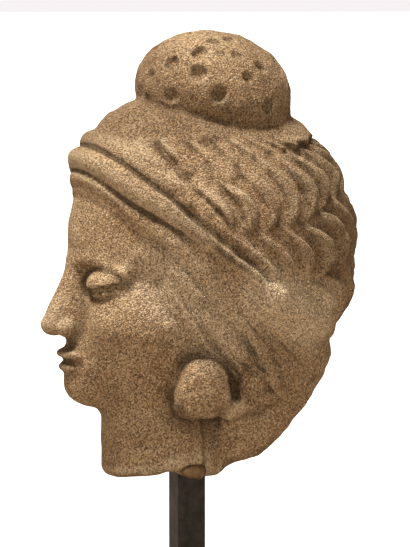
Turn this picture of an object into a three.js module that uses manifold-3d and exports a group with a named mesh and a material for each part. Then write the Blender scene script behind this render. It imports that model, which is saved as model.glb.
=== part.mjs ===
// A stucco head with a pitted topknot, a rolled fillet and rows of twisted hair, broken off at the neck.
// It stands on a square steel post in a steel foot plate, and a lump of filler fixes it on the post.
// Millimetres, +Z up. The face looks along -Y and the head's left side is at +X.
// The origin is under the middle of the foot plate. The head is worked out in its own frame, whose
// origin is on the post's axis at the height of the broken neck.
import * as THREE from 'three';
import { mergeVertices } from 'three/addons/utils/BufferGeometryUtils.js';
import Module from 'manifold-3d';

// Driving dimensions
const POST_SIDE = 15;
const POST_SHOWN = 70;
const POST_IN_HEAD = 45;
const FOOT_SIDE = 120;
const FOOT_THICK = 12;
const FOOT_CHAMFER = 1;
const GAP = 0.3;

// How finely the head is cut: the grid that its surface is found on, and the triangles that are kept
const GRID = 1.6;
const HEAD_TRIANGLES = 9250;

// The skull with its hair: joined ellipsoids, [centre, half axes]
const CROWN = [[0, 13, 118], [58, 71, 73]];
const FRONT_HAIR = [[0, -14, 148], [42, 43, 42]];
const OCCIPUT = [[0, 22, 97], [46, 60, 42]];
const NAPE = [[0, 25.5, 52], [46, 50.5, 60]];

// The fillet lies on a plane that falls 36 degrees to the back. Its three rolls lie side by side between
// four lines. A line's level across the fillet changes between two places: [[y, level], [y, level]]
const FILLET_TILT = 36 * Math.PI / 180;
const FILLET_LEVEL = 89.9;
const FILLET_LINES = [
  [[-5, 25.5], [8, 16]], [[-56, 14.7], [-4, 8]], [[-60, 2.4], [-46, 0]], [[-53, -3.6], [-42, -9]],
];
const FILLET_HEIGHTS = [5.4, 7.2, 3.4];
const FILLET_BOTTOM = -9;

// The rows of twisted hair lie on planes that rise 9.7 degrees to the back, between lines of the same kind
const ROW_TILT = 9.7 * Math.PI / 180;
const ROW_EDGES = [
  [[-15, 176], [55, 162.5]], [[0, 152.3], [26, 158.7]], [[45, 122.8], [70, 130]],
  [[65, 91.5], [77, 94.5]], [[60, 62], [80, 62]],
];
const ROW_HEIGHTS = [5.4, 7.8, 6.8, 5.2];
const STRAND_PITCH = 13;
const STRAND_SWEEP = 18;
const STRAND_DEPTH = 0.6;
const ROW_RADIUS = 62;
const BACK_SWELL = 2.2;

// The topknot, and the pits pressed into it: [degrees round it, share of its height, radius].
// Each pit is there twice, once on either side.
const TOPKNOT = [[0, 14.2, 196.6], [39.5, 40.5, 31]];
const TOPKNOT_BASE = [[0, 3, -9], [39, 36.5, 19]];
const TOPKNOT_TILT = 7 * Math.PI / 180;
const PITS = [
  [-106, 0.64, 3.2], [-27, 0.82, 3.6], [-5, 0.88, 3.2], [-58, 0.38, 4], [-77, 0.14, 3.6],
  [-37, 0.6, 4.6], [-16, 0.6, 3], [-1, 0.63, 3.6], [-33, 0.25, 4.8], [-15, -0.06, 5],
  [-51, -0.16, 4.2], [6, 0.26, 3.6], [22, 0.49, 3], [49, 0.51, 3.2], [57, 0.14, 3.6],
  [24, -0.18, 3.8], [-29, -0.52, 4], [42, -0.43, 4],
];
const PIT_SIDES = [0, 160];

// The face is laid out by thirds between the fillet and the chin, and by fifths across
const HAIRLINE = 147;
const CHIN = 36;
const THIRD = (HAIRLINE - CHIN) / 3;
const BROW = HAIRLINE - THIRD;
const NOSE_BASE = BROW - THIRD;
const MOUTH = NOSE_BASE - THIRD / 3;
const EYE = BROW - 10;
const FACE_WIDTH = 94;
const FIFTH = FACE_WIDTH / 5;

// Joining, cutting and the plain forms. Each gives a distance that is negative inside the form.
const join = (a, b, soft) => {
  const h = Math.max(soft - Math.abs(a - b), 0) / soft;
  return Math.min(a, b) - h * h * soft / 4;
};
const within = (a, b, soft) => -join(-a, -b, soft);
const cut = (a, b, soft) => within(a, -b, soft);

const length = (x, y, z = 0) => Math.sqrt(x * x + y * y + z * z);

function ellipsoid(x, y, z, [[cx, cy, cz], [ax, ay, az]]) {
  const [px, py, pz] = [(x - cx) / ax, (y - cy) / ay, (z - cz) / az];
  const near = length(px, py, pz);
  const slope = length(px / ax, py / ay, pz / az);
  return slope > 0 ? near * (near - 1) / slope : -Math.min(ax, ay, az);
}

// A rod with round ends whose radius runs from ra at a to rb at b
function taper(x, y, z, [ax, ay, az], [bx, by, bz], ra, rb) {
  const [dx, dy, dz] = [bx - ax, by - ay, bz - az];
  const along = ((x - ax) * dx + (y - ay) * dy + (z - az) * dz) / (dx * dx + dy * dy + dz * dz);
  const t = Math.min(1, Math.max(0, along));
  return length(x - ax - t * dx, y - ay - t * dy, z - az - t * dz) - ra - t * (rb - ra);
}

// Smooth step from 0 to 1 as v goes from a to b
function ramp(v, a, b) {
  const t = Math.min(1, Math.max(0, (v - a) / (b - a)));
  return t * t * (3 - 2 * t);
}

const cap = (x, y, z) => (
  join(join(ellipsoid(x, y, z, CROWN), ellipsoid(x, y, z, FRONT_HAIR), 14), ellipsoid(x, y, z, OCCIPUT), 10));
const acrossFillet = (y, z) => Math.cos(FILLET_TILT) * z + Math.sin(FILLET_TILT) * y - FILLET_LEVEL;
const acrossRows = (y, z) => Math.cos(ROW_TILT) * z - Math.sin(ROW_TILT) * y;

const lineAt = (y, [[front, frontLevel], [back, backLevel]]) => (
  frontLevel + (backLevel - frontLevel) * ramp(y, front, back));

// The rolled fillet: each roll is a half round that follows the skull, and they run together to the back
function fillet(y, skull, across) {
  const back = ramp(y, 18, 60);
  const lines = FILLET_LINES.map((line) => lineAt(y, line));
  let form = 50;
  FILLET_HEIGHTS.forEach((height, i) => {
    const half = (lines[i] - lines[i + 1]) / 2 + 0.3;
    const raised = height * (1 - 0.25 * back);
    const aside = across - (lines[i] + lines[i + 1]) / 2;
    const roll = (length(aside / half, skull / raised) - 1) * Math.min(half, raised);
    form = join(form, roll, 1.2 + 9 * back);
  });
  return form;
}

// The rows of twisted hair over the fillet: each is a half round whose strands run back and curl down
function hairRows(x, y, z, skull, across) {
  const level = acrossRows(y, z);
  const around = Math.atan2(x, y - CROWN[0][1]) * ROW_RADIUS;
  const edges = ROW_EDGES.map((edge) => lineAt(y, edge));
  const back = ramp(y, 45, 78);
  const fuller = skull - BACK_SWELL * back;
  let form = 50;
  for (let row = 0; row + 1 < edges.length; row += 1) {
    const middle = (edges[row] + edges[row + 1]) / 2;
    const half = (edges[row] - edges[row + 1]) / 2 + 0.8;
    const t = Math.min(1, Math.max(-1, (level - middle) / half));
    const swept = -around - STRAND_SWEEP * Math.sin((1 - t) * 0.34 * Math.PI) + row * STRAND_PITCH * 0.4;
    const plump = 1 - STRAND_DEPTH * Math.abs(Math.cos(Math.PI * swept / STRAND_PITCH)) ** 3;
    const height = ROW_HEIGHTS[row] * (1 - 0.3 * back) * plump;
    const roll = (length((level - middle) / (half * (0.4 + 0.6 * plump)), fuller / height) - 1) * height * 0.9;
    form = join(form, roll, 1.2);
  }
  const underBack = within(fuller - 1.8 * back, level - ROW_EDGES[0][1][1], 3);
  return within(join(form, underBack, 1), lineAt(y, FILLET_LINES[0]) - 5 - across, 3);
}

// The smooth band under the topknot, which is rough with soft waves at the front
function frontHair(x, y, z, skull, across) {
  const level = acrossRows(y, z);
  const wave = Math.sin((x + 0.5 * level + 3 * Math.sin(y / 7)) / 5.5) * Math.sin((y + 0.8 * z) / 8);
  const band = 1.5 + 4.5 * ramp(y, 20, 50) + (1.7 + 1.6 * wave) * ramp(-y, -20, 5);
  const above = within(skull - band, lineAt(y, ROW_EDGES[0]) - 3 - level, 4);
  const fold = taper(Math.abs(x), y, z, [37, -18, 165], [46.5, 3, 152.5], 8, 9);
  return within(join(above, fold, 3), lineAt(y, FILLET_LINES[0]) - 5 - across, 3);
}

const pits = PIT_SIDES.flatMap((side) => PITS.map(([turn, up, radius]) => {
  const angle = (turn + side) * Math.PI / 180;
  const out = Math.sqrt(1 - up * up);
  const shallow = up > 0.2 ? 0.5 : 1.5;
  return [out * Math.cos(angle), out * Math.sin(angle), up, 0.85 * radius, shallow];
}));

function topknot(x, y, z) {
  const [[cx, cy, cz], [ax, ay, az]] = TOPKNOT;
  const [dy, dz] = [y - cy, z - cz];
  const px = x - cx;
  const py = Math.cos(TOPKNOT_TILT) * dy - Math.sin(TOPKNOT_TILT) * dz;
  const pz = Math.sin(TOPKNOT_TILT) * dy + Math.cos(TOPKNOT_TILT) * dz;
  let form = join(ellipsoid(px, py, pz, [[0, 0, 0], [ax, ay, az]]), ellipsoid(px, py, pz, TOPKNOT_BASE), 5);
  if (form > 12) return form;
  for (const [ux, uy, uz, radius, shallow] of pits) {
    const pit = length(px - ux * (ax + shallow), py - uy * (ay + shallow), pz - uz * (az + shallow));
    form = cut(form, pit - radius, 1.5);
  }
  return form;
}

const LOCK_TILT = 47 * Math.PI / 180;

// The hair under the fillet: a shell that stops at the temples and over the ears, combed back in strands
function sideHair(x, y, z, skull, across) {
  const shell = join(skull, ellipsoid(x, y, z, NAPE), 8);
  const along = Math.cos(LOCK_TILT) * z + Math.sin(LOCK_TILT) * y;
  const bend = 2.5 * Math.sin(y / 10 + 0.4) + 1.2 * Math.sin(y / 4.3 + z / 9);
  const broad = Math.abs(Math.cos((along + bend) * Math.PI / 12)) ** 2.5;
  const thick = 3.6 - 3 * ramp(-y, 10, 30) - 1.8 * ramp(y, 25, 60);
  const grooved = 2.3 * broad * ramp(-across, 8, 14) * (1 - 0.7 * ramp(y, 35, 60));
  const side = Math.abs(x);
  let combed = shell - thick + grooved * (1 - 0.5 * ramp(-y, 10, 30));
  combed = join(combed, taper(side, y, z, [49, -13, 89], [47.5, 13, 66], 3, 3.2), 2);
  combed = cut(combed, taper(side, y, z, [54.2, -12, 93], [56, 1, 87.5], 1.6, 2.2), 1.5);
  const temple = Math.min(FILLET_BOTTOM + 2 - across, -27 + 1.5 * Math.sin(z / 9) - y);
  const overEar = y < -22 ? 71.8 - 0.5 * (y + 22) : 71.8 - 0.019 * (y + 22) ** 2;
  const overNape = 32 + 0.41 * (y - 11);
  const hem = side < 20 ? overNape : overEar + (overNape - overEar) * ramp(y, 9, 14);
  return within(within(combed, temple, 3), hem - z, 2);
}

function skullAndJaw(x, y, z, skull) {
  const side = Math.abs(x);
  let form = ellipsoid(x, y, z, [[0, 2, 108], [FACE_WIDTH / 2, 63, 56]]);
  form = join(form, ellipsoid(x, y, z, [[0, -15, 126], [41, 46, 36]]), 8);
  form = join(form, within(skull + 2.5, EYE + 8 - z, 14), 10);
  form = join(form, ellipsoid(x, y, z, [[0, -20, 70], [41, 41, 38]]), 16);
  form = join(form, ellipsoid(side, y, z, [[25, -37, EYE - 20], [17, 19, 17]]), 14);
  form = join(form, ellipsoid(x, y, z, [[0, -51, CHIN + 11], [15, 15, 11]]), 12);
  return form;
}

function eyes(form, x, y, z) {
  const side = Math.abs(x);
  const [ex, ey] = [FIFTH + 1, -47];
  const socket = ellipsoid(side, y, z, [[ex - 1, ey - 17, EYE + 0.5], [15, 12, 9]]);
  let made = cut(form, socket, 5);
  const ball = ellipsoid(side, y, z, [[ex, ey, EYE], [13.5, 11.5, 8.5]]);
  const bend = 0.014 * (side - ex) * (side - ex);
  const upperLid = within(ball - 1.5, EYE - 1.6 + 1.2 * bend - z, 1.2);
  const lowerLid = within(ball - 1, z - (EYE - 4.6 + bend), 1.2);
  made = join(made, ball, 2);
  made = join(made, upperLid, 1.2);
  return join(made, lowerLid, 1.2);
}

function nose(form, x, y, z) {
  const side = Math.abs(x);
  const ridge = taper(x, y, z, [0, -60.5, BROW - 4], [0, -73.5, NOSE_BASE + 6], 3.8, 5.4);
  const wing = ellipsoid(side, y, z, [[6.4, -66.5, NOSE_BASE + 4.5], [4.3, 6.5, 4.8]]);
  const wedge = taper(x, y, z, [0, -56.5, BROW - 2], [0, -63, NOSE_BASE + 8], 6.5, 9);
  let made = join(form, wedge, 6);
  made = join(made, ridge, 5);
  made = join(made, wing, 3);
  const nostril = ellipsoid(side, y, z, [[4, -69.5, NOSE_BASE - 0.6], [2.1, 3.2, 1.8]]);
  return cut(made, nostril, 1.4);
}

function mouth(form, x, y, z) {
  const side = Math.abs(x);
  const bow = 1.1 * Math.exp(-side * side / 18) - 0.8 * Math.exp(-(side - 4) * (side - 4) / 16);
  const muzzle = ellipsoid(x, y, z, [[0, -47, MOUTH + 1], [22, 17, 17]]);
  const upper = ellipsoid(x, y, z - bow * 0.6, [[0, -58.8, MOUTH + 3], [FIFTH * 0.8, 11, 3.7]]);
  const lower = ellipsoid(x, y, z, [[0, -58, MOUTH - 4], [FIFTH * 0.66, 11, 4.2]]);
  const made = join(join(form, muzzle, 8), join(upper, lower, 1), 2);
  const philtrum = taper(x, y, z, [0, -68, NOSE_BASE - 2], [0, -68.5, MOUTH + 6.5], 2.2, 2.2);
  return cut(made, philtrum, 2);
}

function brows(form, x, y, z) {
  const side = Math.abs(x);
  const arch = 2.5 * Math.sin(Math.PI * Math.min(1, side / (FIFTH * 2)));
  const edge = taper(side, y, z - arch, [3, -60.5, BROW], [34, -46, BROW - 3], 2.6, 2);
  return join(form, edge, 6);
}

// The thick ear lobe under a hollow, and the worn locks of hair behind it
function ears(head, x, y, z) {
  const side = Math.abs(x);
  const [out, along, up] = [(side - 42.5) / 10.5, (y + 7.5) / (13.8 - 0.15 * (z - 48)), (z - 48) / 15.8];
  const lobe = ((Math.abs(out) ** 2.7 + Math.abs(along) ** 2.7 + Math.abs(up) ** 2.7) ** (1 / 2.7) - 1) * 12;
  const hollow = Math.min(
    taper(side, y, z, [46.5, -20, 68.5], [47, -8, 66.5], 2.5, 4.5),
    taper(side, y, z, [47, -8, 66.5], [49.5, 10, 50.5], 4.5, 3.5),
  );
  let form = cut(head, hollow, 2);
  form = join(form, lobe, 3);
  let locks = ellipsoid(side, y, z, [[45.5, 18, 50], [8, 7.5, 8]]);
  locks = join(locks, taper(side, y, z, [48.5, 18, 74], [48.5, 31, 51], 2.5, 2.5), 1.5);
  locks = join(locks, taper(side, y, z, [43.5, 6, 36], [45, 25, 42], 5, 4.5), 3);
  form = join(form, locks, 2.5);
  return cut(form, taper(side, y, z, [46.5, 12, 31], [46.5, 31, 38], 3, 2.5), 2);
}

// The neck is broken off unevenly below, and its back is broken away on a slope
function neck(x, y, z) {
  const column = (length(x / 36, (y + 9.5) / 35.5) - 1) * 36;
  return join(within(column, z - 70, 4), ellipsoid(x, y, z, NAPE), 5);
}

function breaks(form, x, y, z) {
  const uneven = 1.6 * Math.sin(x / 9 + 1) * Math.cos(y / 11) + 1.2 * Math.sin(y / 6 + x / 15);
  const under = 0.6 * uneven + 5 * Math.exp(-(((y + 20) / 10) ** 2)) + 4 * ramp(-y, 38, 52) - z;
  const slope = Math.max(0.697 * (y - 17.5) - 0.717 * z, 0.494 * (y - 8.4) - 0.869 * z) - 0.7 * uneven;
  const creased = cut(form, taper(Math.abs(x), y, z, [38, 1, -8], [38, -1.5, 33], 5, 6.5), 2);
  return within(within(creased, under, 3.5), slope, 7);
}

function headForm(x, y, z) {
  const skull = cap(x, y, z);
  const across = acrossFillet(y, z);
  let face = skullAndJaw(x, y, z, skull);
  if (y < -20 && face < 20) {
    face = brows(face, x, y, z);
    face = eyes(face, x, y, z);
    face = nose(face, x, y, z);
    face = mouth(face, x, y, z);
  }
  let form = join(face, neck(x, y, z), 9);
  form = join(form, sideHair(x, y, z, skull, across), 2);
  form = join(form, within(skull, FILLET_BOTTOM + 2 - across, 2), 2);
  form = ears(form, x, y, z);
  form = join(form, fillet(y, skull, across), 1.5);
  form = join(form, taper(Math.abs(x), y, z, [54, 26, 94], [37, 53, 80], 9, 9), 7);
  form = join(form, frontHair(x, y, z, skull, across), 2);
  form = join(form, hairRows(x, y, z, skull, across), 1.5);
  form = join(form, topknot(x, y, z), 2);
  return breaks(form, x, y, z);
}

// The closed skin where a form's distance is zero, found in a grid whose cells are cut into six tetrahedra
function skinOf(form, low, high, cell) {
  const count = low.map((v, i) => Math.ceil((high[i] - v) / cell) + 1);
  const stride = [1, count[0], count[0] * count[1]];
  const at = (i, axis) => low[axis] + (Math.floor(i / stride[axis]) % count[axis]) * cell;
  const value = new Float32Array(count[0] * count[1] * count[2]);
  for (let i = 0; i < value.length; i += 1) value[i] = form(at(i, 0), at(i, 1), at(i, 2)) || 1e-6;
  const points = [];
  const found = new Map();
  const crossing = (a, b) => {
    const key = Math.min(a, b) * value.length + Math.max(a, b);
    if (!found.has(key)) {
      const between = (t) => [0, 1, 2].map((axis) => at(a, axis) + t * (at(b, axis) - at(a, axis)));
      let [near, far] = [0, 1];
      for (let halving = 0; halving < 5; halving += 1) {
        const middle = (near + far) / 2;
        if ((form(...between(middle)) < 0) === (value[a] < 0)) near = middle;
        else far = middle;
      }
      found.set(key, points.length / 3);
      points.push(...between(Math.min(0.95, Math.max(0.05, (near + far) / 2))));
    }
    return found.get(key);
  };
  const faces = [];
  const addFace = (a, b, c, inner, outer) => {
    const p = [a, b, c].map((v) => new THREE.Vector3(...points.slice(3 * v, 3 * v + 3)));
    const facing = p[1].sub(p[0]).cross(p[2].sub(p[0]));
    const outward = new THREE.Vector3(...[0, 1, 2].map((axis) => at(outer, axis) - at(inner, axis)));
    faces.push(...(facing.dot(outward) > 0 ? [a, b, c] : [a, c, b]));
  };
  const orders = [[0, 1, 2], [0, 2, 1], [1, 0, 2], [1, 2, 0], [2, 0, 1], [2, 1, 0]];
  const opposite = stride[0] + stride[1] + stride[2];
  for (let k = 0; k + 1 < count[2]; k += 1) {
    for (let j = 0; j + 1 < count[1]; j += 1) {
      for (let i = 0; i + 1 < count[0]; i += 1) {
        const corner = i + j * stride[1] + k * stride[2];
        if (Math.abs(value[corner]) > 4 * cell) continue;
        for (const [a, b] of orders) {
          const tetra = [corner, corner + stride[a], corner + stride[a] + stride[b], corner + opposite];
          const inner = tetra.filter((v) => value[v] < 0);
          const outer = tetra.filter((v) => value[v] >= 0);
          if (!inner.length || !outer.length) continue;
          if (inner.length === 2) {
            const [p, q, r, s] = [[0, 0], [0, 1], [1, 1], [1, 0]].map(([m, n]) => crossing(inner[m], outer[n]));
            addFace(p, q, r, inner[0], outer[0]);
            addFace(p, r, s, inner[0], outer[0]);
          } else {
            const pairs = inner.flatMap((v) => outer.map((w) => [v, w]));
            addFace(...pairs.map(([v, w]) => crossing(v, w)), inner[0], outer[0]);
          }
        }
      }
    }
  }
  return { points, faces };
}

// Evens the skin out: each point goes halfway to the middle of its neighbours
function evened({ points, faces }, passes) {
  let places = points;
  for (let pass = 0; pass < passes; pass += 1) {
    const sums = new Float64Array(points.length);
    const counts = new Uint8Array(points.length / 3);
    faces.forEach((v, i) => {
      const next = faces[i % 3 === 2 ? i - 2 : i + 1];
      counts[v] += 1;
      for (let axis = 0; axis < 3; axis += 1) sums[3 * v + axis] += places[3 * next + axis];
    });
    places = places.map((p, i) => (p + sums[i] / counts[Math.floor(i / 3)]) / 2);
  }
  return { points: places, faces };
}

// The least first: a heap of [cost, ...]
function heapPush(heap, item) {
  let i = heap.push(item) - 1;
  while (i > 0 && heap[(i - 1) >> 1][0] > item[0]) {
    heap[i] = heap[(i - 1) >> 1];
    i = (i - 1) >> 1;
  }
  heap[i] = item;
}

function heapPop(heap) {
  const least = heap[0];
  const last = heap.pop();
  if (!heap.length) return least;
  let i = 0;
  for (let child = 1; child < heap.length; child = 2 * i + 1) {
    if (child + 1 < heap.length && heap[child + 1][0] < heap[child][0]) child += 1;
    if (heap[child][0] >= last[0]) break;
    heap[i] = heap[child];
    i = child;
  }
  heap[i] = last;
  return least;
}

// A quadric holds the summed squared distance to planes: [xx, xy, xz, yy, yz, zz, x, y, z, 1]
function quadricOf(normal, offset, weight) {
  const { x, y, z } = normal;
  const terms = [x * x, x * y, x * z, y * y, y * z, z * z, x * offset, y * offset, z * offset, offset * offset];
  return terms.map((term) => term * weight);
}

// The point where a quadric is least, and its value there
function restOf(q) {
  const minors = [q[3] * q[5] - q[4] * q[4], q[2] * q[4] - q[1] * q[5], q[1] * q[4] - q[2] * q[3]];
  const scale = -1 / (q[0] * minors[0] + q[1] * minors[1] + q[2] * minors[2]);
  const [yy, yz, zz] = [q[0] * q[5] - q[2] * q[2], q[1] * q[2] - q[0] * q[4], q[0] * q[3] - q[1] * q[1]];
  const x = scale * (minors[0] * q[6] + minors[1] * q[7] + minors[2] * q[8]);
  const y = scale * (minors[1] * q[6] + yy * q[7] + yz * q[8]);
  const z = scale * (minors[2] * q[6] + yz * q[7] + zz * q[8]);
  return [Math.max(0, x * q[6] + y * q[7] + z * q[8] + q[9]), new THREE.Vector3(x, y, z)];
}

// Joins the two ends of the edges that matter least until few enough triangles are left.
// The skin stays closed, and no triangle turns over.
function simplify({ points, faces }, wanted, worth) {
  const places = [];
  for (let v = 0; v < points.length; v += 3) places.push(new THREE.Vector3(...points.slice(v, v + 3)));
  const corners = [];
  for (let f = 0; f < faces.length; f += 3) corners.push(faces.slice(f, f + 3));
  const around = places.map(() => new Set());
  const EVEN = 0.002;
  const quadrics = places.map((p) => {
    const pull = [1, 0, 0, 1, 0, 1, -p.x, -p.y, -p.z, p.lengthSq()];
    return pull.map((term) => term * EVEN);
  });
  const facing = (p, q, r) => q.clone().sub(p).cross(r.clone().sub(p));
  corners.forEach((corner, f) => {
    const normal = facing(...corner.map((v) => places[v]));
    const area = normal.length();
    normal.divideScalar(area || 1);
    const plane = quadricOf(normal, -normal.dot(places[corner[0]]), area * worth(places[corner[0]]));
    for (const v of corner) {
      around[v].add(f);
      plane.forEach((term, i) => { quadrics[v][i] += term; });
    }
  });
  const changes = new Int32Array(places.length);
  const heap = [];
  const offer = (a, b) => {
    const [cost, place] = restOf(quadrics[a].map((term, i) => term + quadrics[b][i]));
    heapPush(heap, [cost, a, b, changes[a], changes[b], place]);
  };
  for (const [a, b, c] of corners) {
    for (const [p, q] of [[a, b], [b, c], [c, a]]) if (p < q) offer(p, q);
  }
  const neighbours = (v) => new Set([...around[v]].flatMap((f) => corners[f]).filter((w) => w !== v));
  const turnsOver = (v, other, place) => [...around[v]].some((f) => {
    if (corners[f].includes(other)) return false;
    const before = facing(...corners[f].map((w) => places[w]));
    const after = facing(...corners[f].map((w) => (w === v ? place : places[w])));
    return before.dot(after) < 0.3 * before.length() * after.length();
  });
  let left = corners.length;
  while (left > wanted && heap.length) {
    const [, a, b, changedA, changedB, place] = heapPop(heap);
    if (changes[a] !== changedA || changes[b] !== changedB) continue;
    const besideA = neighbours(a);
    const shared = [...neighbours(b)].filter((v) => besideA.has(v));
    if (shared.length !== 2 || turnsOver(a, b, place) || turnsOver(b, a, place)) continue;
    for (const f of [...around[b]]) {
      if (around[a].has(f)) {
        for (const v of corners[f]) around[v].delete(f);
        corners[f] = null;
        left -= 1;
      } else {
        corners[f] = corners[f].map((v) => (v === b ? a : v));
        around[a].add(f);
      }
    }
    around[b].clear();
    places[a] = place;
    quadrics[b].forEach((term, i) => { quadrics[a][i] += term; });
    changes[a] += 1;
    changes[b] += 1;
    for (const v of neighbours(a)) offer(a, v);
  }
  const geometry = new THREE.BufferGeometry();
  geometry.setAttribute('position', new THREE.Float32BufferAttribute(places.flatMap((p) => [...p]), 3));
  geometry.setIndex(corners.filter(Boolean).flat());
  return mergeVertices(geometry.toNonIndexed(), 1e-4);
}

// Solids that can be joined and cut, and back to a three.js geometry
const wasm = await Module();
wasm.setup();

function solidOf(geometry) {
  const bare = geometry.clone();
  for (const name of Object.keys(bare.attributes)) if (name !== 'position') bare.deleteAttribute(name);
  const merged = mergeVertices(bare, 1e-4);
  return new wasm.Manifold(new wasm.Mesh({
    numProp: 3,
    vertProperties: merged.attributes.position.array,
    triVerts: new Uint32Array(merged.index.array),
  }));
}

function geometryOf(solid) {
  const { vertProperties, triVerts } = solid.getMesh();
  const geometry = new THREE.BufferGeometry();
  geometry.setAttribute('position', new THREE.Float32BufferAttribute(vertProperties, 3));
  geometry.setIndex([...triVerts]);
  geometry.computeVertexNormals();
  return geometry;
}

// A square bar with its corners taken off, standing on z = 0
function squareBar(side, corner, length) {
  const [h, c] = [side / 2, side / 2 - corner];
  const outline = [[h, -c], [h, c], [c, h], [-c, h], [-h, c], [-h, -c], [-c, -h], [c, -h]];
  const shape = new THREE.Shape(outline.map(([x, y]) => new THREE.Vector2(x, y)));
  return new THREE.ExtrudeGeometry(shape, { depth: length, bevelEnabled: false });
}

const stucco = new THREE.MeshStandardMaterial({ name: 'stucco', color: 0xa98c68, roughness: 0.95, metalness: 0 });
const filler = new THREE.MeshStandardMaterial({ name: 'filler', color: 0x5c452c, roughness: 0.6, metalness: 0 });
const steel = new THREE.MeshStandardMaterial({ name: 'steel', color: 0x2e2a2a, roughness: 0.5, metalness: 0.8 });

function named(name, geometry, material) {
  const mesh = new THREE.Mesh(geometry, material);
  mesh.name = name;
  return mesh;
}

// The filler is a rounded lump pressed in beside the post. It shows in the notch under the left ear.
const FILLER = [[22, -9, 4], [17.5, 9, 6.5]];
const FILLER_SEGMENTS = 16;
const FILLER_REACH = 35;

function lump(grown) {
  const [centre, half] = FILLER;
  const form = new THREE.SphereGeometry(1, FILLER_SEGMENTS, FILLER_SEGMENTS / 2);
  form.scale(...half.map((h) => h + grown));
  form.translate(...centre);
  return form;
}

function socket(depth) {
  return squareBar(POST_SIDE + 2 * GAP, 0.5, depth + FOOT_SIDE).translate(0, 0, -FOOT_SIDE);
}

const skin = evened(skinOf(headForm, [-72, -92, -8], [72, 106, 234], GRID), 2);
const isFace = (y, z) => y < -45 && z > CHIN + 12 && z < BROW + 6;
const worth = ({ y, z }) => (isFace(y, z) ? 20 : 1) * (z > 178 ? 4 : 1);
const carved = simplify(skin, HEAD_TRIANGLES, worth);
const headSolid = solidOf(carved).subtract(solidOf(socket(POST_IN_HEAD + GAP))).subtract(solidOf(lump(GAP)));
const flush = new THREE.CylinderGeometry(1, 1, 60, 120).rotateX(Math.PI / 2).scale(FILLER_REACH, FILLER_REACH, 1);
const fillerSolid = solidOf(lump(0)).intersect(solidOf(flush.translate(0, -9, 0))).subtract(solidOf(socket(POST_IN_HEAD)));

const head = new THREE.Group();
head.position.z = FOOT_THICK + POST_SHOWN;
head.add(named('stucco_head', geometryOf(headSolid), stucco));
head.add(named('fixing_filler', geometryOf(fillerSolid), filler));

const post = named('post', squareBar(POST_SIDE, 0.5, POST_SHOWN + POST_IN_HEAD - GAP), steel);
post.position.z = FOOT_THICK + GAP;

const plate = new THREE.Shape([[1, 1], [-1, 1], [-1, -1], [1, -1]].map(([x, y]) => (
  new THREE.Vector2(x * (FOOT_SIDE / 2 - FOOT_CHAMFER), y * (FOOT_SIDE / 2 - FOOT_CHAMFER)))));
const foot = named('foot_plate', new THREE.ExtrudeGeometry(plate, {
  depth: FOOT_THICK - 2 * FOOT_CHAMFER,
  bevelThickness: FOOT_CHAMFER,
  bevelSize: FOOT_CHAMFER,
  bevelSegments: 1,
}), steel);
foot.position.z = FOOT_CHAMFER;

const sculpture = new THREE.Group();
sculpture.add(head, post, foot);

export default sculpture;
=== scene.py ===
"""Stucco head with a pitted topknot, a rolled fillet and rows of twisted hair, on its steel post."""
import math

import bpy
import numpy as np
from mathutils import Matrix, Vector


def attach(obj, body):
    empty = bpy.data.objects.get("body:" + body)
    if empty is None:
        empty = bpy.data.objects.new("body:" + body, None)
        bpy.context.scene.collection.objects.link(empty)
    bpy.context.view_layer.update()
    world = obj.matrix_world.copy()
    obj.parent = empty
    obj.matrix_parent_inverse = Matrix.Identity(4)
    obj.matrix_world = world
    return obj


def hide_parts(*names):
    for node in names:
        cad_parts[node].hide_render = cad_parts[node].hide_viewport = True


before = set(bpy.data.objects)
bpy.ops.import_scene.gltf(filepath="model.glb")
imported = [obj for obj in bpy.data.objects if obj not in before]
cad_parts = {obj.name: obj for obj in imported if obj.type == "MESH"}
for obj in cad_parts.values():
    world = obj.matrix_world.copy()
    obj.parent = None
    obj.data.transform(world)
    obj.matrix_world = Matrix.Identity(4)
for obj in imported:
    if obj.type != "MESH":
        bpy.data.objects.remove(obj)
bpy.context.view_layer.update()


# The stucco head. It is one lump of lime stucco, modelled by hand while wet and broken off at the
# neck. It is worked out as one form whose value is the distance to its surface in millimetres,
# negative inside, in the head's own frame: z is 0 at the broken neck, and -y is the front.
HEAD_HEIGHT_ON_POST = 82
SKULL = ((0, 13, 118), (58, 71, 73))
FRONT_HAIR = ((0, -14, 148), (42, 43, 42))
OCCIPUT = ((0, 22, 97), (46, 60, 42))
NAPE = ((0, 25.5, 52), (46, 50.5, 60))
FAR_AWAY = 50


def join(a, b, soft):
    """The two forms as one, with a soft crease."""
    near = np.maximum(soft - np.abs(a - b), 0) / soft
    return np.minimum(a, b) - near * near * soft / 4


def within(a, b, soft):
    """What the two forms have in common."""
    return -join(-a, -b, soft)


def cut(a, b, soft):
    """The first form without the second."""
    return within(a, -b, soft)


def length(*parts):
    return np.sqrt(sum(part * part for part in parts))


def ellipsoid(x, y, z, form):
    """Distance to the ellipsoid with that centre and those half axes."""
    (cx, cy, cz), (ax, ay, az) = form
    px, py, pz = (x - cx) / ax, (y - cy) / ay, (z - cz) / az
    near = length(px, py, pz)
    return near * (near - 1) / np.maximum(length(px / ax, py / ay, pz / az), 1e-6)


def taper(x, y, z, start, end, start_radius, end_radius):
    """Distance to a rod with round ends."""
    dx, dy, dz = (b - a for a, b in zip(start, end))
    along = (x - start[0]) * dx + (y - start[1]) * dy + (z - start[2]) * dz
    t = np.clip(along / (dx * dx + dy * dy + dz * dz), 0, 1)
    away = length(x - start[0] - t * dx, y - start[1] - t * dy, z - start[2] - t * dz)
    return away - start_radius - t * (end_radius - start_radius)


def ramp(v, start, end):
    """Smooth step from 0 to 1."""
    t = np.clip((v - start) / (end - start), 0, 1)
    return t * t * (3 - 2 * t)


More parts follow.
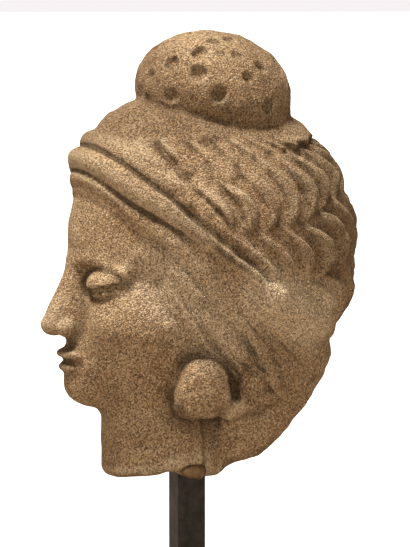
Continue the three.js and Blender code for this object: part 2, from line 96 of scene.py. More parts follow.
def lumps(places, size, seed):
    """Smooth random values from -1 to 1 that change over about that many millimetres."""
    table = np.random.default_rng(seed).uniform(-1, 1, (16, 16, 16))
    cell = places / size
    low = np.floor(cell).astype(int)
    t = cell - low
    t = t * t * (3 - 2 * t)
    total = np.zeros(len(places))
    for corner in np.ndindex(2, 2, 2):
        weight = np.prod(np.where(corner, t, 1 - t), axis=1)
        total += weight * table[tuple(((low + corner) % 16).T)]
    return total


# The rolled fillet: a twisted cloth of three rolls, on a plane that falls 36 degrees to the back
FILLET_TILT = math.radians(36)
FILLET_LEVEL = 89.9
FILLET_LINES = (
    ((-5, 25.5), (8, 16)), ((-56, 14.7), (-4, 8)), ((-60, 2.4), (-46, 0)), ((-53, -3.6), (-42, -9)),
)  # fmt: skip
FILLET_HEIGHTS = (5.4, 7.2, 3.4)
FILLET_BOTTOM = -9


def line_at(y, line):
    """The level of a line that changes from one level to another between two places."""
    (front, front_level), (back, back_level) = line
    return front_level + (back_level - front_level) * ramp(y, front, back)


def fillet(y, skull, across):
    """Each roll is a half round between two lines, which follows the skull.

    The rolls flatten and run together to the back."""
    form = np.full_like(skull, FAR_AWAY)
    back = ramp(y, 18, 60)
    lines = [line_at(y, line) for line in FILLET_LINES]
    for height, high, low in zip(FILLET_HEIGHTS, lines, lines[1:]):
        middle, half = (high + low) / 2, (high - low) / 2 + 0.3
        raised = height * (1 - 0.25 * back)
        rounded = length((across - middle) / half, skull / raised) - 1
        form = join(form, rounded * np.minimum(half, raised), 0.8 + 9 * back)
    return form


def above_fillet(y, across):
    """The half of space that the hair above the fillet keeps to, so that it ends under the roll."""
    return line_at(y, FILLET_LINES[0]) - 5 - across


# The rows of twisted hair, on planes that rise 9.7 degrees to the back
ROW_TILT = math.radians(9.7)
ROW_EDGES = (
    ((-15, 176), (55, 162.5)), ((0, 152.3), (26, 158.7)), ((45, 122.8), (70, 130)),
    ((65, 91.5), (77, 94.5)), ((60, 62), (80, 62)),
)  # fmt: skip
ROW_HEIGHTS = (5.4, 7.8, 6.8, 5.2)
STRAND_PITCH = 13
STRAND_SWEEP = 18
STRAND_DEPTH = 0.6
ROW_RADIUS = 62
BACK_SWELL = 2.2


def row_level(y, z):
    """The height across the rows."""
    return math.cos(ROW_TILT) * z - math.sin(ROW_TILT) * y


def hair_rows(x, y, z, skull, across):
    """Each row is a half round whose strands run back and curl down, with a fine line along each."""
    level = row_level(y, z)
    around = np.arctan2(x, y - SKULL[0][1]) * ROW_RADIUS
    form = np.full_like(skull, FAR_AWAY)
    edges = [line_at(y, edge) for edge in ROW_EDGES]
    back = ramp(y, 45, 78)
    fuller = skull - BACK_SWELL * back
    for row, (high, low) in enumerate(zip(edges, edges[1:])):
        middle, half = (high + low) / 2, (high - low) / 2 + 0.8
        t = np.clip((level - middle) / half, -1, 1)
        swept = -around - STRAND_SWEEP * np.sin((1 - t) * 0.34 * math.pi) + row * STRAND_PITCH * 0.4
        valley = np.abs(np.cos(math.pi * swept / STRAND_PITCH))
        line = np.cos(2 * math.pi * (swept / STRAND_PITCH - 0.29)) ** 2
        plump = 1 - STRAND_DEPTH * valley**3 - 0.06 * line**4
        height = ROW_HEIGHTS[row] * (1 - 0.3 * back) * plump
        narrowed = half * (0.4 + 0.6 * plump)
        rounded = length((level - middle) / narrowed, fuller / height) - 1
        form = join(form, rounded * height * 0.9, 0.8)
    under_back = within(fuller - 1.8 * back, level - ROW_EDGES[0][1][1], 3)
    return within(join(form, under_back, 1), above_fillet(y, across), 3)


def front_hair(x, y, z, skull, across):
    """The band under the topknot, rough with soft waves at the front, with a fold on each side."""
    level = row_level(y, z)
    wave = np.sin((x + 0.5 * level + 3 * np.sin(y / 7)) / 5.5) * np.sin((y + 0.8 * z) / 8)
    rough = 1.7 + 1.6 * wave + 1.1 * lumps(np.stack((x, y, z), axis=1), 7, 12)
    band = 1.5 + 4.5 * ramp(y, 20, 50) + rough * ramp(-y, -20, 5)
    form = within(skull - band, line_at(y, ROW_EDGES[0]) - 3 - level, 4)
    fold = taper(np.abs(x), y, z, (37, -18, 165), (46.5, 3, 152.5), 8, 9)
    return within(join(form, fold, 3), above_fillet(y, across), 3)


# The topknot, a tilted ball on a broader base
TOPKNOT = ((0, 14.2, 196.6), (39.5, 40.5, 31))
TOPKNOT_BASE = ((0, 3, -9), (39, 36.5, 19))
TOPKNOT_TILT = math.radians(7)

# The pits pressed into it: degrees round it, share of its half height, radius. The unseen side has
# the same pits, turned round by the second of these angles.
PIT_TURNS = (0, 160)
PITS = (
    (-106, 0.64, 3.2), (-27, 0.82, 3.6), (-5, 0.88, 3.2), (-58, 0.38, 4), (-77, 0.14, 3.6),
    (-37, 0.6, 4.6), (-16, 0.6, 3), (-1, 0.63, 3.6), (-33, 0.25, 4.8), (-15, -0.06, 5),
    (-51, -0.16, 4.2), (6, 0.26, 3.6), (22, 0.49, 3), (49, 0.51, 3.2), (57, 0.14, 3.6),
    (24, -0.18, 3.8), (-29, -0.52, 4), (42, -0.43, 4),
)  # fmt: skip


def topknot(x, y, z):
    """The ball and its base, with ragged pits cut where the form is near enough to need them."""
    (cx, cy, cz), half = TOPKNOT
    turned_y = math.cos(TOPKNOT_TILT) * (y - cy) - math.sin(TOPKNOT_TILT) * (z - cz)
    turned_z = math.sin(TOPKNOT_TILT) * (y - cy) + math.cos(TOPKNOT_TILT) * (z - cz)
    form = ellipsoid(x - cx, turned_y, turned_z, ((0, 0, 0), half))
    form = join(form, ellipsoid(x - cx, turned_y, turned_z, TOPKNOT_BASE), 5)
    near = form < 12
    local = [v[near] for v in (x - cx, turned_y, turned_z)]
    pitted = form[near]
    rough = lumps(np.stack(local, axis=1), 3.2, 9)
    for further in PIT_TURNS:
        for turn, up, radius in PITS:
            out = math.sqrt(1 - up * up)
            angle = math.radians(turn + further)
            aim = (out * math.cos(angle), out * math.sin(angle), up)
            shallow = 0.5 if up > 0.2 else 1.5
            gap = length(*(v - a * (h + shallow) for v, a, h in zip(local, aim, half)))
            pitted = cut(pitted, gap - 0.98 * radius + 0.6 * rough, 1)
    form[near] = pitted
    return form


# The locks over the ear run down to the back at this angle
LOCK_TILT = math.radians(47)


def side_hair(x, y, z, skull, across):
    """The combed hair under the fillet, which stops at the temples and over the ears."""
    shell = join(skull, ellipsoid(x, y, z, NAPE), 8)
    along = math.cos(LOCK_TILT) * z + math.sin(LOCK_TILT) * y
    bend = 2.8 * np.sin(y / 10 + 0.4) + 1.7 * np.sin(y / 4.3 + z / 9)
    broad = np.abs(np.cos((along + bend) * math.pi / 12)) ** 2.5
    narrow = np.abs(np.cos((along + 0.5 * bend + 2) * math.pi / 4.1)) ** 4
    thick = 3.6 - 3 * ramp(-y, 10, 30) - 1.8 * ramp(y, 25, 60)
    grooved = (2.3 * broad + 0.7 * narrow) * ramp(-across, 8, 14) * (1 - 0.7 * ramp(y, 35, 60))
    combed = shell - thick + grooved * (1 - 0.5 * ramp(-y, 10, 30))
    side = np.abs(x)
    lock = taper(side, y, z, (49, -13, 89), (47.5, 13, 66), 3, 3.2)
    notch = taper(side, y, z, (54.2, -12, 93), (56, 1, 87.5), 2.4, 3.2)
    combed = cut(join(combed, lock, 2), notch, 1.5)
    temple = np.minimum(FILLET_BOTTOM + 2 - across, -27 + 1.5 * np.sin(z / 9) - y)
    over_ear = np.where(y < -22, 71.8 - 0.5 * (y + 22), 71.8 - 0.019 * (y + 22) ** 2)
    over_nape = 32 + 0.41 * (y - 11)
    hem = np.where(side < 20, over_nape, over_ear + (over_nape - over_ear) * ramp(y, 9, 14))
    return within(within(combed, temple, 3), hem - z, 2)


# The face, laid out by thirds between the fillet and the chin and by fifths across
HAIRLINE = 147
CHIN = 36
THIRD = (HAIRLINE - CHIN) / 3
BROW = HAIRLINE - THIRD
NOSE_BASE = BROW - THIRD
MOUTH = NOSE_BASE - THIRD / 3
EYE = BROW - 10
FACE_WIDTH = 94
FIFTH = FACE_WIDTH / 5


def skull_and_jaw(x, y, z, skull):
    side = np.abs(x)
    form = ellipsoid(x, y, z, ((0, 2, 108), (FACE_WIDTH / 2, 63, 56)))
    form = join(form, ellipsoid(x, y, z, ((0, -15, 126), (41, 46, 36))), 8)
    form = join(form, within(skull + 2.5, EYE + 8 - z, 14), 10)
    form = join(form, ellipsoid(x, y, z, ((0, -20, 70), (41, 41, 38))), 16)
    form = join(form, ellipsoid(side, y, z, ((25, -37, EYE - 20), (17, 19, 17))), 14)
    return join(form, ellipsoid(x, y, z, ((0, -51, CHIN + 11), (15, 15, 11))), 12)


def brows(form, x, y, z):
    side = np.abs(x)
    arch = 2.5 * np.sin(math.pi * np.minimum(1, side / (FIFTH * 2)))
    return join(form, taper(side, y, z - arch, (3, -60.5, BROW), (34, -46, BROW - 3), 2.6, 2), 6)


def eyes(form, x, y, z):
    """Half-closed eyes: a ball in a shallow socket, under an upper and over a lower lid."""
    side = np.abs(x)
    ex, ey = FIFTH + 1, -47
    form = cut(form, ellipsoid(side, y, z, ((ex - 1, ey - 17, EYE + 0.5), (15, 12, 9))), 5)
    ball = ellipsoid(side, y, z, ((ex, ey, EYE), (13.5, 11.5, 8.5)))
    bend = 0.014 * (side - ex) ** 2
    upper_lid = within(ball - 1.5, EYE - 1.6 + 1.2 * bend - z, 0.8)
    lower_lid = within(ball - 1, z - (EYE - 4.6 + bend), 0.8)
    form = join(form, ball, 2)
    return join(join(form, upper_lid, 0.8), lower_lid, 0.8)


def nose(form, x, y, z):
    side = np.abs(x)
    form = join(form, taper(x, y, z, (0, -56.5, BROW - 2), (0, -63, NOSE_BASE + 8), 6.5, 9), 6)
    form = join(form, taper(x, y, z, (0, -60.5, BROW - 4), (0, -73.5, NOSE_BASE + 6), 3.8, 5.4), 5)
    form = join(form, ellipsoid(side, y, z, ((6.4, -66.5, NOSE_BASE + 4.5), (4.3, 6.5, 4.8))), 3)
    return cut(form, ellipsoid(side, y, z, ((4, -69.5, NOSE_BASE - 0.6), (2.1, 3.2, 1.8))), 1.4)


def mouth(form, x, y, z):
    side = np.abs(x)
    bow = 1.1 * np.exp(-side * side / 18) - 0.8 * np.exp(-((side - 4) ** 2) / 16)
    muzzle = ellipsoid(x, y, z, ((0, -47, MOUTH + 1), (22, 17, 17)))
    upper = ellipsoid(x, y, z - bow * 0.6, ((0, -58.8, MOUTH + 3), (FIFTH * 0.8, 11, 3.7)))
    lower = ellipsoid(x, y, z, ((0, -58, MOUTH - 4), (FIFTH * 0.66, 11, 4.2)))
    form = join(join(form, muzzle, 8), join(upper, lower, 0.8), 2)
    philtrum = taper(x, y, z, (0, -68, NOSE_BASE - 2), (0, -68.5, MOUTH + 6.5), 2.2, 2.2)
    return cut(form, philtrum, 2)


def ears(form, x, y, z):
    """The thick ear lobe under a hollow, and the worn locks of hair behind it."""
    side = np.abs(x)
    out, along, up = (side - 42.5) / 10.5, (y + 7.5) / (13.8 - 0.15 * (z - 48)), (z - 48) / 15.8
    lobe = ((np.abs(out) ** 2.7 + np.abs(along) ** 2.7 + np.abs(up) ** 2.7) ** (1 / 2.7) - 1) * 12
    hollow = np.minimum(
        taper(side, y, z, (46.5, -20, 68.5), (47, -8, 66.5), 2.5, 4.5),
        taper(side, y, z, (47, -8, 66.5), (49.5, 10, 50.5), 4.5, 3.5),
    )
    form = cut(form, hollow, 2)
    form = join(form, lobe, 3)
    locks = join(
        ellipsoid(side, y, z, ((45.5, 18, 50), (8, 7.5, 8))),
        taper(side, y, z, (48.5, 18, 74), (48.5, 31, 51), 2.5, 2.5),
        1.5,
    )
    locks = join(locks, taper(side, y, z, (43.5, 6, 36), (45, 25, 42), 5, 4.5), 3)
    under_locks = taper(side, y, z, (46.5, 12, 31), (46.5, 31, 38), 3, 2.5)
    return cut(join(form, locks, 2.5), under_locks, 2)


def neck(x, y, z):
    column = (length(x / 36, (y + 9.5) / 35.5) - 1) * 36
    return join(within(column, z - 70, 4), ellipsoid(x, y, z, NAPE), 5)


def breaks(form, x, y, z):
    """The crease under the ear, the uneven break under the neck, and the slope at its back."""
    uneven = 1.6 * np.sin(x / 9 + 1) * np.cos(y / 11) + 1.2 * np.sin(y / 6 + x / 15)
    under = 0.6 * uneven + 5 * np.exp(-(((y + 20) / 10) ** 2)) + 4 * ramp(-y, 38, 52) - z
    upper, lower = 0.697 * (y - 17.5) - 0.717 * z, 0.494 * (y - 8.4) - 0.869 * z
    slope = np.maximum(upper, lower) - 0.7 * uneven
    crease = taper(np.abs(x), y, z, (35.4, 1.5, -8), (35.6, -0.5, 33), 3.6, 4.8)
    return within(within(cut(form, crease, 2.5), under, 3.5), slope, 7)


# The socket, with 0.3 mm of room round the post, and the hollow that the filler fills
POST_HALF = 7.5
SOCKET_HALF = 7.8
SOCKET_DEPTH = 45.3
FILLER_LUMP = ((22, -9, 4), (17.5, 9, 6.5))


def socket(places, half):
    """A square hole of that half width."""
    x, y, z = places.T
    return np.maximum(np.maximum(np.abs(x), np.abs(y)) - half, z - SOCKET_DEPTH)


def filler_lump(places):
    """The uneven lump that the filler was pressed in as."""
    return ellipsoid(*places.T, FILLER_LUMP) + 0.8 * lumps(places, 5, 7)


def bare_head(places):
    """The head without its socket, with the slight unevenness of hand work and of a worn surface."""
    uneven = np.stack([lumps(places, 24, seed) for seed in (1, 2, 3)], axis=1)
    handmade = 0.25 + 0.75 * ramp(places[:, 1], -48, -20)
    x, y, z = (places + 0.9 * uneven * handmade[:, None]).T
    skull = join(ellipsoid(x, y, z, SKULL), ellipsoid(x, y, z, FRONT_HAIR), 14)
    skull = join(skull, ellipsoid(x, y, z, OCCIPUT), 10)
    across = math.cos(FILLET_TILT) * z + math.sin(FILLET_TILT) * y - FILLET_LEVEL
    form = skull_and_jaw(x, y, z, skull)
    front = y < -20
    face = form[front]
    for add in (brows, eyes, nose, mouth):
        face = add(face, x[front], y[front], z[front])
    form[front] = face
    form = join(form, neck(x, y, z), 9)
    form = join(form, side_hair(x, y, z, skull, across), 1.5)
    form = join(form, within(skull, FILLET_BOTTOM + 2 - across, 2), 2)
    form = ears(form, x, y, z)
    form = join(form, fillet(y, skull, across), 1.2)
    worn_ridge = taper(np.abs(x), y, z, (54, 26, 94), (37, 53, 80), 10, 10)
    form = join(form, worn_ridge, 5)
    form = join(form, front_hair(x, y, z, skull, across), 1.5)
    form = join(form, hair_rows(x, y, z, skull, across), 1)
    form = join(form, topknot(x, y, z), 1.5)
    form = breaks(form, x, y, z)
    worn = 0.45 * lumps(places, 9, 4) + 0.5 * lumps(places, 4.2, 5) * (0.4 + 0.6 * handmade)
    return form + worn * (0.5 + 0.5 * handmade)


def head_form(places):
    """The head with its socket, and with 0.3 mm of room round the filler."""
    form = np.maximum(bare_head(places), -socket(places, SOCKET_HALF))
    return np.maximum(form, 0.3 - filler_lump(places))


def slope_of(form, places):
    """The form's value at the places, and the direction in which it grows."""
    step = 0.15
    sides = [form(places + step * axis) - form(places - step * axis) for axis in np.eye(3)]
    slope = np.stack(sides, axis=1) / (2 * step)
    return form(places), slope / np.maximum(np.linalg.norm(slope, axis=1), 0.3)[:, None]


def remeshed(mesh, size):
    """The mesh with even faces of that many millimetres."""
    carrier = bpy.data.objects.new("carrier", mesh)
    bpy.context.collection.objects.link(carrier)
    even = carrier.modifiers.new("even", "REMESH")
    even.mode = "VOXEL"
    even.voxel_size = size / 1000
    depsgraph = bpy.context.evaluated_depsgraph_get()
    made = bpy.data.meshes.new_from_object(carrier.evaluated_get(depsgraph))
    bpy.data.objects.remove(carrier)
    return made


def settled(mesh, form, rounds, reach=1.5):
    """Moves the mesh's points onto the form, and gives their places in the head's frame.

    A point moves no further than the reach in one round."""
    co = np.zeros(len(mesh.vertices) * 3)
    mesh.vertices.foreach_get("co", co)
    places = co.reshape(-1, 3) * 1000 - (0, 0, HEAD_HEIGHT_ON_POST)
    for _ in range(rounds):
        value, slope = slope_of(form, places)
        places -= np.clip(value, -reach, reach)[:, None] * slope
    mesh.vertices.foreach_set("co", ((places + (0, 0, HEAD_HEIGHT_ON_POST)) / 1000).ravel())
    mesh.update()
    return places


def smooth_piece(name, mesh):
    """A new piece with that mesh, shaded smooth."""
    for polygon in mesh.polygons:
        polygon.use_smooth = True
    piece = bpy.data.objects.new(name, mesh)
    bpy.context.collection.objects.link(piece)
    return piece


# The second round of even faces is laid on the settled form, so it follows the creases better
skin = remeshed(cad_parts["stucco_head"].data.copy(), size=1.3)
settled(skin, head_form, rounds=4)
skin = remeshed(skin, size=1.25)
places = settled(skin, head_form, rounds=3)
skin.name = "stucco_head_skin"
head = smooth_piece("stucco_head_worn", skin)
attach(head, "root")
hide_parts("stucco_head")


# How deep each point lies in a hollow, small or large, and how sharply it stands out on a ridge.
# Dirt and painted shade keep to the hollows, and the ridges are rubbed pale. The side hair and the end
# of the fillet are made pale, for wear and as a painted highlight, while the rows and the front of the
# topknot are made darker and its underside has painted shade. The form is read this many millimetres
# off the skin, and comes to less than that in a hollow or under a ridge.
NEAR, FAR, DEEP = 3, 9, 10
_, slope = slope_of(head_form, places)
side, y, z = np.abs(places[:, 0]), places[:, 1], places[:, 2]
# The side hair and the end of the fillet are made pale, for wear and as a painted highlight
worn_and_lit_side = taper(side, y, z, (48, -28, 104), (49, 0, 80), 0, 0)
worn_and_lit_end = taper(side, y, z, (58, 22, 94), (42, 55, 82), 0, 0)
# The rows and the front of the topknot are made darker, and under the topknot is painted shade
darker_rows = 0.5 * ramp(y, 0, 30) * ramp(z, 95, 125) + 0.5 * ramp(y, 42, 74) * ramp(z, 70, 95)
under_topknot = ramp(TOPKNOT[0][2] - z, -4, 12) * ramp(z, 168, 178)
topknot_front = 0.7 * ramp(-y, 2, 20) * ramp(z, 174, 182)
sharp_ridge = 1 + head_form(places - NEAR * slope) / NEAR
broad_ridge = 1.2 + 1.6 * head_form(places - FAR * slope) / FAR
masks = {
    "rubbed_and_lit": np.maximum(0.8 - 0.8 * ramp(worn_and_lit_side, 4, 30), 1.3 - 1.3 * ramp(worn_and_lit_end, 5, 24)),
    "darker_and_shaded": np.maximum(darker_rows, np.maximum(under_topknot, topknot_front)),
    "hollow": 1 - head_form(places + NEAR * slope) / NEAR,
    "depth": 1 - head_form(places + DEEP * slope) / DEEP,
    "ridge": np.maximum(sharp_ridge, broad_ridge),
}
for name, mask in masks.items():
    layer = skin.attributes.new(name, "FLOAT", "POINT")
    layer.data.foreach_set("value", np.clip(mask, 0, 1).astype(np.float32))


def node(tree, kind, inputs=None, **settings):
    """A shader node with its settings, whose inputs are set to values or linked to sockets."""
    made = tree.nodes.new(kind)
    for name, setting in settings.items():
        setattr(made, name, setting)
    for name, given in (inputs or {}).items():
        if isinstance(given, bpy.types.NodeSocket):
            tree.links.new(given, made.inputs[name])
        else:
            made.inputs[name].default_value = given
    return made


def group_of(name, inputs, outputs):
    """An empty node group with those inputs and outputs, and its input and output nodes."""
    group = bpy.data.node_groups.new(name, "ShaderNodeTree")
    for label, (kind, given) in inputs.items():
        socket = group.interface.new_socket(label, in_out="INPUT", socket_type=kind)
        if given is not None:
            socket.default_value = given
    for label, kind in outputs.items():
        group.interface.new_socket(label, in_out="OUTPUT", socket_type=kind)
    return group, group.nodes.new("NodeGroupInput"), group.nodes.new("NodeGroupOutput")


def spread(tree, source, low, high, start=0.0, end=1.0):
    """The value with the range from low to high spread over start to end, and held at its ends."""
    inputs = {"Value": source, "From Min": low, "From Max": high, "To Min": start, "To Max": end}
    return node(tree, "ShaderNodeMapRange", inputs).outputs["Result"]


def blended(tree, factor, first, second):
    """The two colours mixed by the factor."""
    made = node(tree, "ShaderNodeMix", data_type="RGBA")
    for name, given in (("Factor_Float", factor), ("A_Color", first), ("B_Color", second)):
        socket = next(s for s in made.inputs if s.identifier == name)
        if isinstance(given, bpy.types.NodeSocket):
            tree.links.new(given, socket)
        else:
            socket.default_value = given
    return next(s for s in made.outputs if s.identifier == "Result_Color")


def noise(tree, place, scale, detail, roughness):
    """A noise from 0 to 1, with that many features per metre."""
    inputs = {"Vector": place, "Scale": scale, "Detail": detail, "Roughness": roughness}
    return node(tree, "ShaderNodeTexNoise", inputs).outputs["Fac"]


def maths(tree, operation, first, second):
    return node(tree, "ShaderNodeMath", {0: first, 1: second}, operation=operation).outputs[0]


def new_material(name):
    """A new material, its node tree and its shader."""
    made = bpy.data.materials.new(name)
    made.use_nodes = True
    return made, made.node_tree, made.node_tree.nodes["Principled BSDF"]


def relief(tree, shader, height, strength, distance):
    """Gives the shader a relief, whose full height is that many metres."""
    inputs = {"Height": height, "Strength": strength, "Distance": distance}
    bump = node(tree, "ShaderNodeBump", inputs)
    tree.links.new(bump.outputs["Normal"], shader.inputs["Normal"])


def coat(mesh, material):
    """Gives the mesh that material alone."""
    mesh.materials.clear()
    mesh.materials.append(material)


def sandy_grain():
    """Grains of sand in a matrix: their relief, a value for each grain, and the pores between them."""
    group, given, result = group_of(
        "sandy grain",
        {"Grain per metre": ("NodeSocketFloat", 600)},
        {"Relief": "NodeSocketFloat", "Grain": "NodeSocketFloat", "Pores": "NodeSocketFloat"},
    )
    size = given.outputs["Grain per metre"]
    place = node(group, "ShaderNodeTexCoord").outputs["Object"]
    cells = node(group, "ShaderNodeTexVoronoi", {"Vector": place, "Scale": size, "Randomness": 1})
    pore_size = maths(group, "MULTIPLY", size, 0.8)
    pores = spread(group, noise(group, place, pore_size, 3, 0.65), 0.46, 0.36)
    domed = spread(group, cells.outputs["Distance"], 0, 0.9, 1, 0)
    raised = maths(group, "MULTIPLY", domed, 0.45)
    colour = node(group, "ShaderNodeSeparateColor", {"Color": cells.outputs["Color"]})
    group.links.new(maths(group, "SUBTRACT", raised, pores), result.inputs["Relief"])
    group.links.new(colour.outputs["Red"], result.inputs["Grain"])
    group.links.new(pores, result.inputs["Pores"])
    return group


SANDY_GRAIN = sandy_grain()
STUCCO_DARK, STUCCO_LIGHT = (0.36, 0.218, 0.113, 1), (0.47, 0.31, 0.168, 1)
SAND_LIGHT, SAND_DARK = (0.7, 0.54, 0.36, 1), (0.17, 0.11, 0.06, 1)
PORE = (0.15, 0.095, 0.05, 1)
RUBBED = (0.62, 0.47, 0.3, 1)
# The dark brown of dirt and of painted shade in the hollows
DIRT_AND_SHADE = (0.11, 0.068, 0.035, 1)
STAIN = (0.2, 0.125, 0.065, 1)
# The dark brown that makes the rows darker and paints shade under the topknot
DARKER_AND_SHADED = (0.13, 0.078, 0.038, 1)
# The pale tone of wear and of painted highlight on the side hair and the end of the fillet
PALED = (0.92, 0.72, 0.48, 1)
STUCCO_GRAINS_PER_METRE = 1250

stucco, tree, shader = new_material("weathered stucco")
place = node(tree, "ShaderNodeTexCoord").outputs["Object"]
hollow, depth, ridge, rubbed_and_lit_place, darker_and_shaded_place = (
    node(tree, "ShaderNodeAttribute", attribute_name=name).outputs["Fac"]
    for name in ("hollow", "depth", "ridge", "rubbed_and_lit", "darker_and_shaded")
)
sand_inputs = {"Grain per metre": STUCCO_GRAINS_PER_METRE}
sand = node(tree, "ShaderNodeGroup", sand_inputs, node_tree=SANDY_GRAIN).outputs
patches = noise(tree, place, 28, 4, 0.6)
stains = noise(tree, place, 95, 3, 0.6)

pore_tone = maths(tree, "MULTIPLY", sand["Pores"], spread(tree, stains, 0.4, 0.6, 0.2, 0.7))
# Hollows, small and large, are darkened for dirt and as painted shade
near_dirt_and_shade = spread(tree, hollow, 0.1, 0.5, 0, 0.88)
deep_dirt_and_shade = spread(tree, depth, 0.25, 0.85, 0, 0.7)
# Paler for wear and as a painted highlight on the side hair and the end of the fillet
paled = maths(tree, "MULTIPLY", rubbed_and_lit_place, spread(tree, sand["Grain"], 0.25, 0.85, 0.4, 1))
tone = blended(tree, spread(tree, patches, 0.38, 0.62), STUCCO_DARK, STUCCO_LIGHT)
for factor, colour in (
    (spread(tree, sand["Grain"], 0.6, 0.95, 0, 0.6), SAND_LIGHT),
    (spread(tree, sand["Grain"], 0.35, 0, 0, 0.6), SAND_DARK),
    (pore_tone, PORE),
    (spread(tree, ridge, 0.2, 0.65, 0, 0.55), RUBBED),
    # dirt and painted shade in the hollows
    (maths(tree, "MAXIMUM", near_dirt_and_shade, deep_dirt_and_shade), DIRT_AND_SHADE),
    (spread(tree, stains, 0.56, 0.72, 0, 0.4), STAIN),
    # darker rows and topknot front, and painted shade under the topknot
    (spread(tree, darker_and_shaded_place, 0, 1, 0, 0.5), DARKER_AND_SHADED),
    # wear and painted highlight on the side hair and the end of the fillet
    (paled, PALED),
):
    tone = blended(tree, factor, tone, colour)
tree.links.new(tone, shader.inputs["Base Color"])
shader.inputs["Roughness"].default_value = 0.95
shader.inputs["Specular IOR Level"].default_value = 0.2
coarser_where_rubbed = spread(tree, rubbed_and_lit_place, 0, 1, 0.0012, 0.002)
relief(tree, shader, sand["Relief"], strength=1, distance=coarser_where_rubbed)
coat(skin, stucco)


# The filler: a lump of brown resin pressed in beside the post, where it shows in a notch of the
# broken neck. It is uneven, and was wiped off about level with the stucco before it set.
def filler_form(places):
    wiped = bare_head(places) - 0.4 + 0.5 * lumps(places, 3, 8)
    form = within(filler_lump(places), wiped, 1.5)
    return np.maximum(form, -socket(places, POST_HALF))


lump = remeshed(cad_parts["fixing_filler"].data.copy(), size=0.5)
settled(lump, filler_form, rounds=5)
lump.name = "filler_lump"
filler_piece = smooth_piece("filler_lump", lump)
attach(filler_piece, "root")
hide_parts("fixing_filler")

FILLER_DARK, FILLER_LIGHT = (0.13, 0.07, 0.025, 1), (0.27, 0.16, 0.06, 1)
FILLER_GRAINS_PER_METRE = 900

filler, tree, shader = new_material("brown filler")
place = node(tree, "ShaderNodeTexCoord").outputs["Object"]
cloud = noise(tree, place, 220, 3, 0.6)
brown = blended(tree, spread(tree, cloud, 0.35, 0.65), FILLER_DARK, FILLER_LIGHT)
tree.links.new(brown, shader.inputs["Base Color"])
shader.inputs["Roughness"].default_value = 0.55
sand_inputs = {"Grain per metre": FILLER_GRAINS_PER_METRE}
sand = node(tree, "ShaderNodeGroup", sand_inputs, node_tree=SANDY_GRAIN).outputs
relief(tree, shader, sand["Relief"], strength=0.6, distance=0.0005)
coat(lump, filler)


# The steel post and its foot plate: hot-rolled square bar welded to a plate and finished dark
# brown-black. The bar keeps its mill skin, which is scuffed brighter in places.
STEEL_DARK, STEEL_LIGHT = (0.02, 0.0165, 0.0145, 1), (0.05, 0.042, 0.038, 1)
SCUFFED = (0.09, 0.075, 0.065, 1)

steel, tree, shader = new_material("dark steel")
place = node(tree, "ShaderNodeTexCoord").outputs["Object"]
mill = noise(tree, place, 160, 5, 0.65)
scuffs = noise(tree, place, 45, 3, 0.6)
skin_tone = blended(tree, spread(tree, mill, 0.35, 0.65), STEEL_DARK, STEEL_LIGHT)
scuffed_tone = blended(tree, spread(tree, scuffs, 0.55, 0.75, 0, 0.5), skin_tone, SCUFFED)
tree.links.new(scuffed_tone, shader.inputs["Base Color"])
tree.links.new(spread(tree, scuffs, 0.3, 0.7, 0.38, 0.58), shader.inputs["Roughness"])
shader.inputs["Metallic"].default_value = 0.1
shader.inputs["Specular IOR Level"].default_value = 0.3
relief(tree, shader, mill, strength=0.3, distance=0.0003)
for name in ("post", "foot_plate"):
    coat(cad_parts[name].data, steel)


# The studio: a wide pale floor and surround, a soft key light from nearly overhead, and two weak,
# very soft lights from the view's left and from the camera. It isn't part of the object.
FLOOR_HALF = 200
FLOOR_LIT, FLOOR_SEEN = (0.34, 0.28, 0.22, 1), (0.93, 0.9, 0.91, 1)
SURROUND_LIT, SURROUND_SEEN = (0.94, 0.83, 0.72, 1), (0.94, 0.89, 0.905, 1)
floor_mesh = bpy.data.meshes.new("studio_floor")
corners = [(x * FLOOR_HALF, y * FLOOR_HALF, 0) for x, y in ((-1, -1), (1, -1), (1, 1), (-1, 1))]
floor_mesh.from_pydata(corners, [], [(0, 1, 2, 3)])
floor = bpy.data.objects.new("studio_floor", floor_mesh)
bpy.context.collection.objects.link(floor)
pale, tree, shader = new_material("pale floor")
seen = node(tree, "ShaderNodeLightPath").outputs["Is Camera Ray"]
tree.links.new(blended(tree, seen, FLOOR_LIT, FLOOR_SEEN), shader.inputs["Base Color"])
shader.inputs["Roughness"].default_value = 0.9
coat(floor_mesh, pale)

VIEW_AZIMUTH = math.radians(70)
VIEW_ELEVATION = math.radians(5)
towards_camera = Vector((
    math.sin(VIEW_AZIMUTH) * math.cos(VIEW_ELEVATION),
    -math.cos(VIEW_AZIMUTH) * math.cos(VIEW_ELEVATION),
    math.sin(VIEW_ELEVATION),
))  # fmt: skip
view_right = Vector((math.cos(VIEW_AZIMUTH), math.sin(VIEW_AZIMUTH), 0))
view_up = towards_camera.cross(view_right)


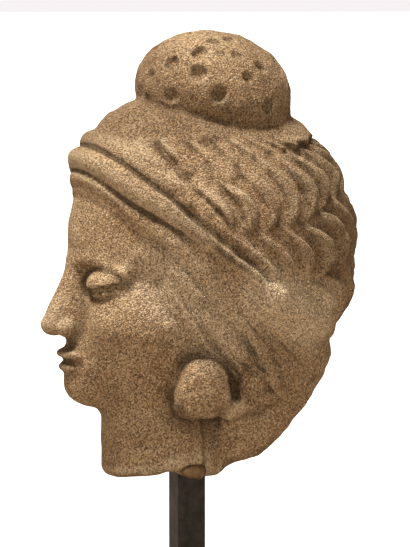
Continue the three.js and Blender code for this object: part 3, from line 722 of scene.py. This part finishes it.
def sun(name, aim, strength, degrees, colour):
    """A distant light that many degrees across, from the view's right, its top and the camera."""
    light = bpy.data.lights.new(name, "SUN")
    light.energy = strength
    light.angle = math.radians(degrees)
    light.color = colour
    lamp = bpy.data.objects.new(name, light)
    bpy.context.collection.objects.link(lamp)
    source = view_right * aim[0] + view_up * aim[1] + towards_camera * aim[2]
    lamp.rotation_euler = source.to_track_quat("Z", "Y").to_euler()


sun("key_light", (-0.2, 1, 0.26), strength=5.6, degrees=14, colour=(1, 0.97, 0.92))
sun("side_light", (-1, 0, 0.15), strength=0.35, degrees=50, colour=(1, 0.98, 0.95))
sun("fill_light", (-0.05, -0.05, 0.95), strength=1.05, degrees=60, colour=(1, 0.95, 0.88))

# The surround is bright where the camera sees it, and lights the object far less
world = bpy.data.worlds.new("pale surround")
world.use_nodes = True
tree = world.node_tree
surround = tree.nodes["Background"]
seen = node(tree, "ShaderNodeLightPath").outputs["Is Camera Ray"]
tree.links.new(blended(tree, seen, SURROUND_LIT, SURROUND_SEEN), surround.inputs["Color"])
tree.links.new(spread(tree, seen, 0, 1, 0.3, 1), surround.inputs["Strength"])
bpy.context.scene.world = world
bpy.context.scene.view_settings.view_transform = "Standard"

# The camera looks at the head's left side from 20 degrees to its front. The picture covers this
# many metres in height, and its middle is so far right of and above the middle of the broken neck.
VIEW_HEIGHT = 0.28444
MIDDLE_RIGHT, MIDDLE_UP = 0.00936, 0.10218
LENS = 200
neck_middle = Vector((0, 0, HEAD_HEIGHT_ON_POST / 1000))
centre = neck_middle + view_right * MIDDLE_RIGHT + view_up * MIDDLE_UP
camera_data = bpy.data.cameras.new("camera")
camera_data.lens = LENS
camera = bpy.data.objects.new("camera", camera_data)
bpy.context.collection.objects.link(camera)
distance = VIEW_HEIGHT * LENS / camera_data.sensor_width
camera.location = centre + towards_camera * distance
camera.rotation_euler = towards_camera.to_track_quat("Z", "Y").to_euler()
camera_data.clip_start = 0.05
camera_data.clip_end = 400
bpy.context.scene.camera = camera
